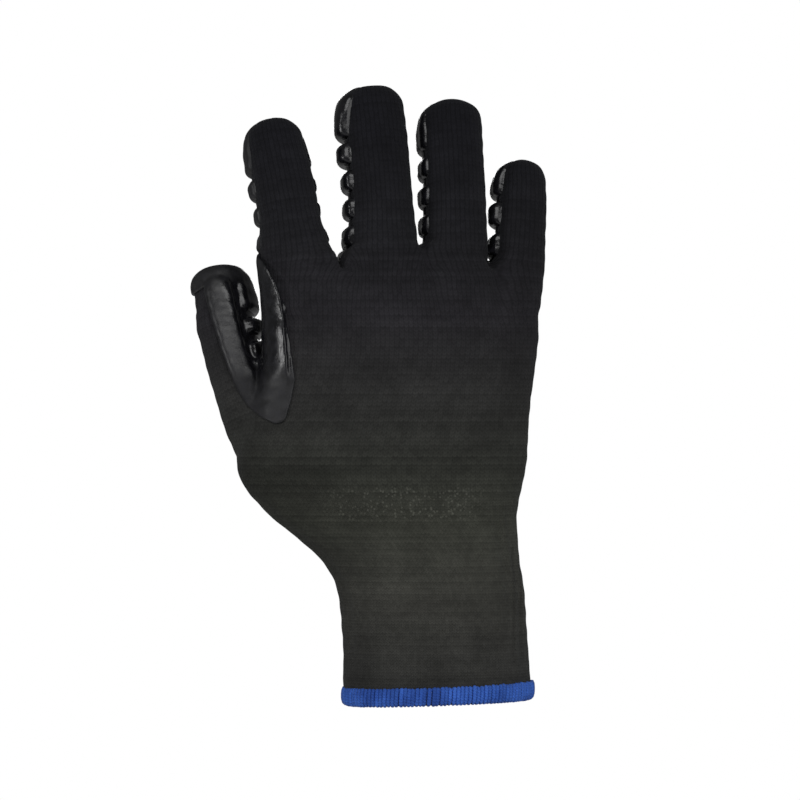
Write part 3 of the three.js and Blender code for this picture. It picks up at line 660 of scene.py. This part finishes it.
class Nodes:
    """A material's nodes, joined by short calls."""

    def __init__(self, name):
        self.material = bpy.data.materials.new(name)
        self.material.use_nodes = True
        self.tree = self.material.node_tree
        self.tree.nodes.clear()
        self.output = self.tree.nodes.new("ShaderNodeOutputMaterial")
        self.shader = self.tree.nodes.new("ShaderNodeBsdfPrincipled")
        self.tree.links.new(self.shader.outputs[0], self.output.inputs["Surface"])

    def put(self, value, socket):
        if isinstance(value, bpy.types.NodeSocket):
            self.tree.links.new(value, socket)
        else:
            socket.default_value = value

    def math(self, operation, *values):
        node = self.tree.nodes.new("ShaderNodeMath")
        node.operation = operation
        for value, socket in zip(values, node.inputs):
            self.put(value, socket)
        return node.outputs[0]

    def add(self, kind, outlet=0, settings=(), **inputs):
        node = self.tree.nodes.new(kind)
        for key, value in dict(settings).items():
            setattr(node, key, value)
        for key, value in inputs.items():
            self.put(value, node.inputs[key.replace("_", " ")])
        return node.outputs[outlet]

    def range(self, value, low, high, to_low=0.0, to_high=1.0, smooth=True):
        node = self.tree.nodes.new("ShaderNodeMapRange")
        node.interpolation_type = "SMOOTHSTEP" if smooth else "LINEAR"
        for key, put in zip(("Value", "From Min", "From Max", "To Min", "To Max"),
                            (value, low, high, to_low, to_high)):
            self.put(put, node.inputs[key])
        return node.outputs[0]

    def mix(self, factor, a, b, blend="MIX"):
        node = self.tree.nodes.new("ShaderNodeMix")
        node.data_type = "RGBA"
        node.blend_type = blend
        self.put(factor, node.inputs[0])
        self.put(a, node.inputs[6])
        self.put(b, node.inputs[7])
        return node.outputs[2]

    def ramp(self, factor, stops):
        node = self.tree.nodes.new("ShaderNodeValToRGB")
        ramp = node.color_ramp
        while len(ramp.elements) < len(stops):
            ramp.elements.new(0.5)
        for element, (at, colour) in zip(ramp.elements, stops):
            element.position = at
            element.color = colour
        self.put(factor, node.inputs[0])
        return node.outputs[0]

    def bump(self, height, distance, strength):
        node = self.tree.nodes.new("ShaderNodeBump")
        node.inputs["Strength"].default_value = strength
        node.inputs["Distance"].default_value = distance
        self.put(height, node.inputs["Height"])
        return node.outputs[0]

    def split(self, vector):
        """A vector's three values."""
        node = self.tree.nodes.new("ShaderNodeSeparateXYZ")
        self.put(vector, node.inputs[0])
        return node.outputs

    def join(self, *values):
        """A vector of up to three values."""
        node = self.tree.nodes.new("ShaderNodeCombineXYZ")
        for value, socket in zip(values, node.inputs):
            self.put(value, socket)
        return node.outputs[0]

    def scaled(self, light, value, amount, base):
        """The light times the value's amount over a base."""
        return self.math("MULTIPLY", light, self.math("MULTIPLY_ADD", value, amount, base))

    def set(self, **inputs):
        for key, value in inputs.items():
            self.put(value, self.shader.inputs[key.replace("_", " ")])


def linear(r, g, b):
    """A colour given as it shows, 0 to 255."""
    def channel(c):
        c /= 255
        return c / 12.92 if c <= 0.04045 else ((c + 0.055) / 1.055) ** 2.4
    return (channel(r), channel(g), channel(b), 1.0)


def knit_material():
    n = Nodes("black_knit")
    uv = n.add("ShaderNodeUVMap", settings={"uv_map": "stitch"})
    u, v, _ = n.split(uv)
    place = n.add("ShaderNodeTexCoord", outlet=3)
    x, _, z = n.split(place)

    # wobble, so that no row is ruled straight
    wobble = n.add("ShaderNodeTexNoise", Vector=place, Scale=260.0, Detail=2.0, Roughness=0.6)
    shift = n.math("MULTIPLY", n.math("SUBTRACT", wobble, 0.5), 0.5)
    u = n.math("ADD", u, shift)
    v = n.math("ADD", v, n.math("MULTIPLY", shift, 0.8))

    # one stitch: two legs that lean apart, in columns with a gap between them
    across = n.math("ABSOLUTE", n.math("SUBTRACT", n.math("FRACT", u), 0.5))
    spread = n.math("MULTIPLY", across, 2.0)
    crown = n.math("SUBTRACT", 1.0, n.math("MULTIPLY", n.range(z, 0.11, 0.2, 0.45, 0.85),
                                           n.math("POWER", spread, 2.4)))
    groove = n.range(spread, 0.0, 0.3, 0.7, 1.0)
    lean = n.math("SUBTRACT", v, n.math("MULTIPLY", spread, 0.5))
    wave = n.math("COSINE", n.math("MULTIPLY", lean, 2 * math.pi))
    loop = n.math("MULTIPLY_ADD", wave, 0.5, 0.5)
    depth = n.range(z, 0.2, 0.1, 0.3, 0.46)
    leg = n.math("SUBTRACT", 1.0, n.math("MULTIPLY", depth, n.math("SUBTRACT", 1.0, loop)))
    stitch = n.math("MULTIPLY", n.math("MULTIPLY", crown, leg), groove)

    # each stitch is a little different
    own = n.add("ShaderNodeTexWhiteNoise", Vector=n.join(n.math("FLOOR", u), n.math("FLOOR", lean)))
    row_own = n.add("ShaderNodeTexWhiteNoise", Vector=n.join(0.0, n.math("FLOOR", v)))

    # the band of slubs above the cuff
    band = n.math("MULTIPLY", n.range(z, 0.071, 0.077), n.range(z, 0.0885, 0.085))
    band = n.math("MULTIPLY", band, n.range(x, 0.022, 0.0, 0.15, 1.0))
    band = n.math("MULTIPLY", band, n.range(x, -0.056, -0.038))
    dots = n.tree.nodes.new("ShaderNodeTexVoronoi")
    n.put(place, dots.inputs["Vector"])
    n.put(820.0, dots.inputs["Scale"])
    pick = n.split(dots.outputs["Color"])[0]
    slub = n.math("MULTIPLY", band, n.range(dots.outputs["Distance"], 0.55, 0.2))
    slub = n.math("MULTIPLY", slub, n.range(pick, 0.25, 0.8))

    fibre = n.add("ShaderNodeTexNoise", Vector=place, Scale=2600.0, Detail=3.0, Roughness=0.7)
    patch = n.add("ShaderNodeTexNoise", Vector=place, Scale=38.0, Detail=3.0, Roughness=0.6)

    # blue black at the fingers, olive grey where the cuff stretches
    tone = n.ramp(n.range(z, 0.0, 0.25, smooth=False), [
        (0.0, linear(43, 43, 42)), (0.07, linear(50, 50, 48)), (0.17, linear(60, 60, 56)),
        (0.29, linear(58, 59, 53)),
        (0.37, linear(46, 47, 43)), (0.48, linear(45, 45, 44)), (0.62, linear(36, 35, 38)),
        (0.76, linear(28, 28, 31)), (0.92, linear(22, 22, 26)),
    ])
    light = n.math("MULTIPLY_ADD", patch, 0.5, 0.75)
    light = n.scaled(light, own, 0.24, 0.88)
    light = n.scaled(light, row_own, 0.2, 0.9)
    # the stitch also darkens the colour in its gaps and between its loops: painted shade
    light = n.scaled(light, stitch, 0.6, 0.6)
    light = n.scaled(light, fibre, 0.5, 0.75)
    light = n.math("MULTIPLY_ADD", slub, 1.2, light)
    mottle = n.add("ShaderNodeTexNoise", Vector=place, Scale=62.0, Detail=4.0)
    light = n.math("MULTIPLY", light, n.range(mottle, 0.3, 0.7, 0.87, 1.13))
    # darker below the little finger; painted shade beside the wrist, where the knit turns away from the light,
    # and painted shade in the cuff's folds
    rim = n.math("MULTIPLY", n.range(z, 0.12, 0.15), n.range(z, 0.195, 0.18))
    rim = n.math("MULTIPLY", n.range(x, 0.012, 0.032), rim)
    light = n.scaled(light, rim, -0.13, 1.0)
    # painted shade on the left side of the wrist
    wrist_side_painted_shade = n.math("MULTIPLY", n.range(x, -0.018, -0.052), n.range(z, 0.105, 0.08))
    light = n.scaled(light, wrist_side_painted_shade, -0.3, 1.0)
    # painted shade: two darker lines along the cuff's folds
    reach = n.math("MULTIPLY", n.range(z, 0.012, 0.03), n.range(z, 0.075, 0.055))
    for at in (0.027, 0.031):
        away = n.math("ABSOLUTE", n.math("SUBTRACT", x, n.math("MULTIPLY_ADD", z, 0.03, at)))
        light = n.scaled(light, n.math("MULTIPLY", n.range(away, 0.0012, 0.0002), reach), -0.2, 1.0)
    colour = n.mix(1.0, tone, n.join(light, light, light), "MULTIPLY")

    height = n.math("MULTIPLY_ADD", fibre, 0.16, stitch)
    height = n.math("MULTIPLY_ADD", slub, 0.7, height)
    n.set(Base_Color=colour, Roughness=0.92, Normal=n.bump(height, 0.00034, 0.85))
    n.set(Specular_IOR_Level=0.1, Sheen_Weight=0.04, Sheen_Roughness=0.5,
          Sheen_Tint=(0.8, 0.82, 0.85, 1.0))
    return n.material


def rubber_material():
    n = Nodes("black_rubber")
    place = n.add("ShaderNodeTexCoord", outlet=3)
    grain = n.add("ShaderNodeTexNoise", Vector=place, Scale=1500.0, Detail=3.0, Roughness=0.6)
    pits = n.add("ShaderNodeTexVoronoi", Vector=place, Scale=900.0)
    cloud = n.add("ShaderNodeTexNoise", Vector=place, Scale=340.0, Detail=3.0, Roughness=0.55)
    wide = n.add("ShaderNodeTexNoise", Vector=place, Scale=28.0, Detail=2.0, Roughness=0.5)
    colour = n.mix(n.range(cloud, 0.3, 0.7), linear(14, 14, 16), linear(24, 24, 28))
    rough = n.range(cloud, 0.3, 0.72, 0.15, 0.25)
    rough = n.math("ADD", rough, n.range(wide, 0.35, 0.65, -0.03, 0.05))
    # duller on the thumb's tip, at the foot of the web and on the thumb's long pad
    x, _, z = n.split(place)
    tip = n.math("MULTIPLY", n.range(z, 0.167, 0.172), n.range(x, -0.068, -0.076))
    worn = n.math("MAXIMUM", tip, n.range(z, 0.137, 0.127))
    rough = n.math("MULTIPLY_ADD", worn, 0.3, rough)
    past = n.math("MULTIPLY_ADD", z, 0.3, x)
    panel = n.math("MULTIPLY", n.range(past, -0.0345, -0.0365), n.range(x, -0.0705, -0.0725))
    rough = n.math("MULTIPLY_ADD", panel, 0.2, rough)
    height = n.math("MULTIPLY_ADD", pits, 0.25, n.math("MULTIPLY", grain, 0.6))
    height = n.math("MULTIPLY_ADD", cloud, 1.2, height)
    n.set(Base_Color=colour, Roughness=rough, Normal=n.bump(height, 0.00012, 0.7))
    n.set(Specular_IOR_Level=0.42)
    return n.material


def thread_material():
    n = Nodes("blue_thread")
    uv = n.add("ShaderNodeUVMap", settings={"uv_map": "stitch"})
    u, v, _ = n.split(uv)
    place = n.add("ShaderNodeTexCoord", outlet=3)
    twist = n.math("SINE", n.math("MULTIPLY", n.math("ADD", u, n.math("MULTIPLY", v, 1.4)), 2 * math.pi))
    ply = n.math("MULTIPLY_ADD", twist, 0.5, 0.5)
    own = n.add("ShaderNodeTexWhiteNoise", Vector=n.join(n.math("FLOOR", u)))
    fibre = n.add("ShaderNodeTexNoise", Vector=place, Scale=3200.0, Detail=3.0, Roughness=0.7)
    patch = n.add("ShaderNodeTexNoise", Vector=place, Scale=90.0, Detail=3.0, Roughness=0.6)
    tone = n.mix(n.range(patch, 0.35, 0.65), linear(38, 76, 158), linear(56, 100, 190))
    # the twist also darkens the colour in its grooves: painted shade
    light = n.math("MULTIPLY_ADD", ply, 0.16, 0.85)
    light = n.scaled(light, own, 0.26, 0.88)
    light = n.scaled(light, fibre, 0.5, 0.75)
    colour = n.mix(1.0, tone, n.join(light, light, light), "MULTIPLY")
    height = n.math("MULTIPLY_ADD", fibre, 0.4, ply)
    n.set(Base_Color=colour, Roughness=0.8, Normal=n.bump(height, 0.00018, 0.8))
    n.set(Specular_IOR_Level=0.25, Sheen_Weight=0.2, Sheen_Roughness=0.4, Sheen_Tint=(0.5, 0.65, 1.0, 1.0))
    return n.material


def plain_material(name, colour, roughness):
    n = Nodes(name)
    n.set(Base_Color=colour, Roughness=roughness)
    return n.material


# The overlocked hem: a thread laid over the cuff's edge, turn beside turn

HEM_TURNS = 124
# Where the turns part: shares of the way round from the middle of the back
HEM_SLITS = (-0.098, -0.048, -0.035, -0.02)


def ring_point(share, offset, z):
    """A point beside the mouth: share of the way round from the middle of the back."""
    arcs = ARC_SHARE[0]
    degrees = np.interp(share, arcs, np.linspace(-180, 180, len(arcs)))
    t = np.radians(degrees - 90)
    n = SQUARE[0]
    r = (np.abs(np.cos(t)) ** n + np.abs(np.sin(t)) ** n) ** (-1 / n)
    x, y = HALF_WIDTH[0] * r * np.cos(t), HALF_DEPTH[0] * r * np.sin(t)
    gx = np.sign(np.cos(t)) * np.abs(x / HALF_WIDTH[0]) ** (n - 1) / HALF_WIDTH[0]
    gy = np.sign(np.sin(t)) * np.abs(y / HALF_DEPTH[0]) ** (n - 1) / HALF_DEPTH[0]
    size = np.hypot(gx, gy)
    x = x + offset * gx / size + CENTRE_X[0]
    y = y + offset * gy / size + CENTRE_Y[0]
    return np.stack([x, y, z + MOUTH_SLANT * x], -1)


def tube(path, radius, sides, u0, pitch):
    """A tube's points, quads and corner coordinates along a path."""
    path = np.asarray(path)
    count = len(path)
    run = np.gradient(path, axis=0)
    run /= np.linalg.norm(run, axis=1, keepdims=True)
    guide = np.cross(run, np.cross(run[count // 2], run[0]) + np.array([1e-3, 2e-3, 1e-3]))
    guide /= np.linalg.norm(guide, axis=1, keepdims=True)
    other = np.cross(run, guide)
    angle = np.arange(sides) * 2 * math.pi / sides
    radius = np.broadcast_to(np.asarray(radius), (count,))
    ring = (guide[:, None] * np.cos(angle)[None, :, None] + other[:, None] * np.sin(angle)[None, :, None])
    points = (path[:, None] + ring * radius[:, None, None]).reshape(-1, 3)
    i, k = np.meshgrid(np.arange(count - 1), np.arange(sides), indexing="ij")
    a, b = i * sides + k, i * sides + (k + 1) % sides
    quads = np.stack([a, b, b + sides, a + sides], -1).reshape(-1, 4)
    length = np.concatenate([[0], np.cumsum(np.linalg.norm(np.diff(path, axis=0), axis=1))])
    v = np.stack([length[i], length[i], length[i + 1], length[i + 1]], -1).reshape(-1) / pitch
    u = u0 + np.stack([k, k + 1, k + 1, k], -1).reshape(-1) / sides
    return points, quads, np.stack([u, v], 1)


def hem_piece():
    rng = np.random.default_rng(7)
    parts = []
    share = np.linspace(-0.5, 0.5, HEM_TURNS, endpoint=False)
    for k, at in enumerate(share):
        push = sum(0.0022 * math.copysign(1, at - slit) * math.exp(-abs(at - slit) / 0.005)
                   for slit in HEM_SLITS)
        at = at + push + rng.normal(0, 0.0003)
        top = HEM_HEIGHT + rng.normal(0, 0.16)
        fat = 0.92 + rng.normal(0, 0.04)
        bulge = rng.normal(0, 0.08)
        # over the edge from the outside to the inside: offset, height, slant round the mouth
        line = [(-0.4, top), (0.1, top - 0.1), (0.4 + bulge, top - 0.9), (0.5 + bulge, top - 2.2),
                (0.5 + bulge, top - 3.6), (0.4 + bulge, 2.4), (0.1, 1.3), (-0.4, 0.85),
                (-0.8, 0.7), (-1.4, 0.8), (-2.1, 1.3), (-2.4, 2.4), (-2.5, top - 3.2),
                (-2.2, top - 1.0), (-1.4, top - 0.3)]
        slant = np.linspace(0.0026, -0.0026, len(line))
        path = np.array([ring_point((at + lag + 0.5) % 1 - 0.5, offset, z)
                         for lag, (offset, z) in zip(slant, line)])
        radius = fat * np.concatenate([[0.7], np.ones(len(line) - 2), [0.7]])
        parts.append(tube(path, radius, 8, k, 1.5))
    # the looper thread that holds the turns along their upper ends
    count = HEM_TURNS * 6
    t = np.arange(count + 1) / count
    around = (t - 0.5) * 0.99999
    weave = np.sin(t * 2 * math.pi * HEM_TURNS)
    rise = 0.45 * np.cos(t * 2 * math.pi * HEM_TURNS)
    path = ring_point(around, 0.4 + 0.3 * weave, HEM_HEIGHT - 0.35 + rise)
    parts.append(tube(path, 0.36, 6, 0.0, 1.5))
    points, quads, uv, base = [], [], [], 0
    for p, q, c in parts:
        points.append(p)
        quads.append(q + base)
        uv.append(c)
        base += len(p)
    return np.concatenate(points), np.concatenate(quads), np.concatenate(uv)


# The pieces

knit_mat, rubber_mat, thread_mat = knit_material(), rubber_material(), thread_material()

values, step, (outer, outer_faces), (inner, inner_faces) = knit_surfaces()
outer_uv = stitch_coords(outer, outer_faces)
inner_uv = stitch_coords(inner, inner_faces)
knit = build("knit_shell", np.concatenate([outer, inner]),
             np.concatenate([outer_faces, inner_faces + len(outer)]), knit_mat,
             np.concatenate([outer_uv, inner_uv]))
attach(knit, "root")
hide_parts("knit_cuff", "knit_hand", *(f"knit_{d.name}" for d in DIGITS))

rubber_parts = rubber_surfaces(values, step)
for name, (points, faces) in zip(["palm", *(d.name for d in DIGITS)], rubber_parts):
    made = build(f"moulded_{name}", points, faces, rubber_mat)
    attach(made, "root")
    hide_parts(f"rubber_{name}")

points, quads, uv = hem_piece()
hem = build("thread_hem", points, quads, thread_mat, uv)
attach(hem, "root")
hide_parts("overlock_hem")


# Floor, lights and camera

def flat(name, size, z, material):
    mesh = bpy.data.meshes.new(name)
    h = size / 2
    mesh.from_pydata([(-h, -h, z), (h, -h, z), (h, h, z), (-h, h, z)], [], [(0, 1, 2, 3)])
    mesh.materials.append(material)
    made = bpy.data.objects.new(name, mesh)
    bpy.context.scene.collection.objects.link(made)
    return made


flat("floor", 1.5, -0.115, plain_material("pale_floor", (0.85, 0.85, 0.85, 1.0), 0.8))

world = bpy.data.worlds.new("studio")
bpy.context.scene.world = world
world.use_nodes = True
tree = world.node_tree
tree.nodes.clear()
out = tree.nodes.new("ShaderNodeOutputWorld")
rays = tree.nodes.new("ShaderNodeLightPath")
seen, room = tree.nodes.new("ShaderNodeBackground"), tree.nodes.new("ShaderNodeBackground")
seen.inputs[0].default_value = (1.0, 1.0, 1.0, 1.0)
room.inputs[0].default_value = (1.0, 1.0, 1.0, 1.0)
seen.inputs[1].default_value = 1.0
room.inputs[1].default_value = 0.14
mix = tree.nodes.new("ShaderNodeMixShader")
tree.links.new(rays.outputs["Is Camera Ray"], mix.inputs[0])
tree.links.new(room.outputs[0], mix.inputs[1])
tree.links.new(seen.outputs[0], mix.inputs[2])
tree.links.new(mix.outputs[0], out.inputs[0])


def area_light(name, place, target, size, power):
    data = bpy.data.lights.new(name, "AREA")
    data.shape = "RECTANGLE"
    data.size, data.size_y = size
    data.energy = power
    made = bpy.data.objects.new(name, data)
    made.location = place
    made.rotation_euler = (Vector(target) - Vector(place)).to_track_quat("-Z", "Y").to_euler()
    bpy.context.scene.collection.objects.link(made)
    return made


middle = (-0.02, 0.0, 0.13)
area_light("left_strip", (-1.78, -0.57, 0.16), middle, (0.28, 0.9), 8.4)
area_light("front", (-0.6, -1.8, 1.45), middle, (1.9, 0.9), 20)
area_light("right", (1.1, -1.8, 0.35), middle, (1.6, 1.6), 18)
area_light("back", (0.36, 2.0, 0.5), middle, (0.7, 0.7), 7)

# The photo: one pixel in metres, its width in pixels, and the pixel that shows the frame's origin
PIXEL = 0.4025 * MM
PHOTO_WIDTH = 800
ORIGIN_COLUMN, ORIGIN_ROW = 438, 702
CAMERA_TURN = math.radians(10)
CAMERA_DISTANCE = 2.0
camera_data = bpy.data.cameras.new("camera")
camera_data.sensor_width = 36.0
camera_data.lens = camera_data.sensor_width * CAMERA_DISTANCE / (PHOTO_WIDTH * PIXEL)
camera = bpy.data.objects.new("camera", camera_data)
right = Vector((math.cos(CAMERA_TURN), -math.sin(CAMERA_TURN), 0))
ahead = Vector((math.sin(CAMERA_TURN), math.cos(CAMERA_TURN), 0))
target = right * ((PHOTO_WIDTH / 2 - ORIGIN_COLUMN) * PIXEL)
target += Vector((0, 0, (ORIGIN_ROW - PHOTO_WIDTH / 2) * PIXEL))
camera.location = target - ahead * CAMERA_DISTANCE
camera.rotation_euler = ahead.to_track_quat("-Z", "Y").to_euler()
bpy.context.scene.collection.objects.link(camera)
bpy.context.scene.camera = camera
bpy.context.scene.view_settings.view_transform = "Standard"
